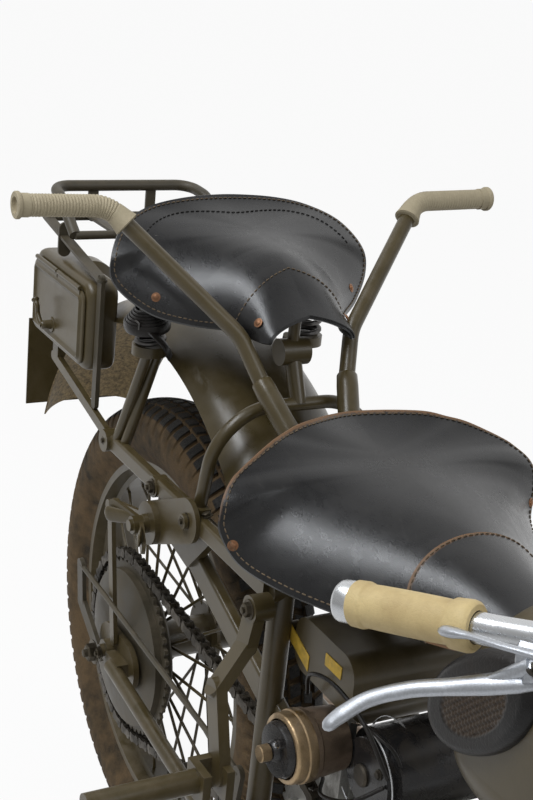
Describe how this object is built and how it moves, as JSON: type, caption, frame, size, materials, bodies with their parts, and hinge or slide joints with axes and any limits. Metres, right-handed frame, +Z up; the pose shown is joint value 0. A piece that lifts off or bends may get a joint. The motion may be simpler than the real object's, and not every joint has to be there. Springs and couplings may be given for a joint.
{
  "type": "army motorcycle with pillion saddle",
  "caption": "Solo army motorcycle with sprung leather saddles, pillion handlebar, tool boxes, rack, girder fork, wire wheels and a horizontal finned engine.",
  "frame": {"origin": "centre of the bounding box on the ground under the wheels", "axes": "+X forward, +Y to the rider's left, +Z up"},
  "size_m": [2.2384, 0.6819, 1.0325],
  "materials": {
    "olive_paint": "satin",
    "dark_paint": "satin",
    "black_metal": "satin",
    "tyre_rubber": "worn",
    "chain_steel": "oily",
    "cast_case": "cast",
    "iron": "rough",
    "leather": "polished",
    "spring_steel": "dull",
    "cream_rubber": "matte",
    "grey_rubber": "matte",
    "black_rubber": "matte",
    "chrome": "polished",
    "brass": "worn",
    "exhaust_steel": "heat stained"
  },
  "bodies": {
    "chassis": {"brake_linkage": "dark_paint", "crankcase": "cast_case", "cylinder": "iron", "drive_chain": "chain_steel", "dynamo": "black_metal", "exhaust": "exhaust_steel", "footrest_rubbers": "black_rubber", "friction_dampers": "olive_paint", "fuel_tank": "olive_paint", "gearbox": "cast_case", "guard_hoop": "olive_paint", "knee_pads": "black_rubber", "luggage_rack": "dark_paint", "main_frame": "olive_paint", "number_plate_lamp": "olive_paint", "oil_tank": "olive_paint", "pillion_grips": "grey_rubber", "pillion_handlebar": "olive_paint", "pillion_hangers": "olive_paint", "pillion_saddle": "leather", "rear_fork": "olive_paint", "rear_frame": "olive_paint", "rear_mudguard": "olive_paint", "rider_saddle": "leather", "saddle_springs": "spring_steel", "side_coupling": "brass", "tool_box_left": "olive_paint", "tool_box_right": "olive_paint"},
    "rear_wheel": {"rear_tyre": "tyre_rubber", "rear_wire_wheel": "olive_paint", "rear_drum_sprocket": "dark_paint"},
    "front_wheel": {"front_tyre": "tyre_rubber", "front_wire_wheel": "olive_paint", "front_drum": "dark_paint"},
    "steering": {"front_fork": "olive_paint", "fork_spring": "spring_steel", "handlebar": "chrome", "bar_grips": "cream_rubber", "bar_levers": "chrome", "headlamp": "olive_paint", "front_mudguard": "olive_paint"},
    "lid_right": {"box_lid_right": "olive_paint"},
    "lid_left": {"box_lid_left": "olive_paint"},
    "stand": {"centre_stand": "olive_paint"},
    "flywheel_body": {"flywheel": "iron"}
  },
  "joints": [
    {"name": "rear_wheel_spin", "type": "hinge", "parent": "chassis", "child": "rear_wheel", "pos_m": [-0.6778, 0, 0.354], "axis": [0, 1, 0], "continuous": true},
    {"name": "steering_turn", "type": "hinge", "parent": "chassis", "child": "steering", "pos_m": [0.45958, 0, 0.8], "axis": [-0.454, 0, 0.891], "range_deg": [-28, 28]},
    {"name": "front_wheel_spin", "type": "hinge", "parent": "steering", "child": "front_wheel", "pos_m": [0.7772, 0, 0.342], "axis": [0, 1, 0], "continuous": true},
    {"name": "stand_fold", "type": "hinge", "parent": "chassis", "child": "stand", "pos_m": [-0.2078, 0, 0.217], "axis": [0, 1, 0], "range_deg": [0, 78]},
    {"name": "lid_right_open", "type": "hinge", "parent": "chassis", "child": "lid_right", "pos_m": [-0.8818, -0.1293, 0.84], "axis": [-1, 0, 0], "range_deg": [0, 95]},
    {"name": "lid_left_open", "type": "hinge", "parent": "chassis", "child": "lid_left", "pos_m": [-0.8818, 0.1293, 0.84], "axis": [1, 0, 0], "range_deg": [0, 95]},
    {"name": "flywheel_turn", "type": "hinge", "parent": "chassis", "child": "flywheel_body", "pos_m": [0.0122, 0.126, 0.377], "axis": [0, 1, 0], "continuous": true}
  ]
}
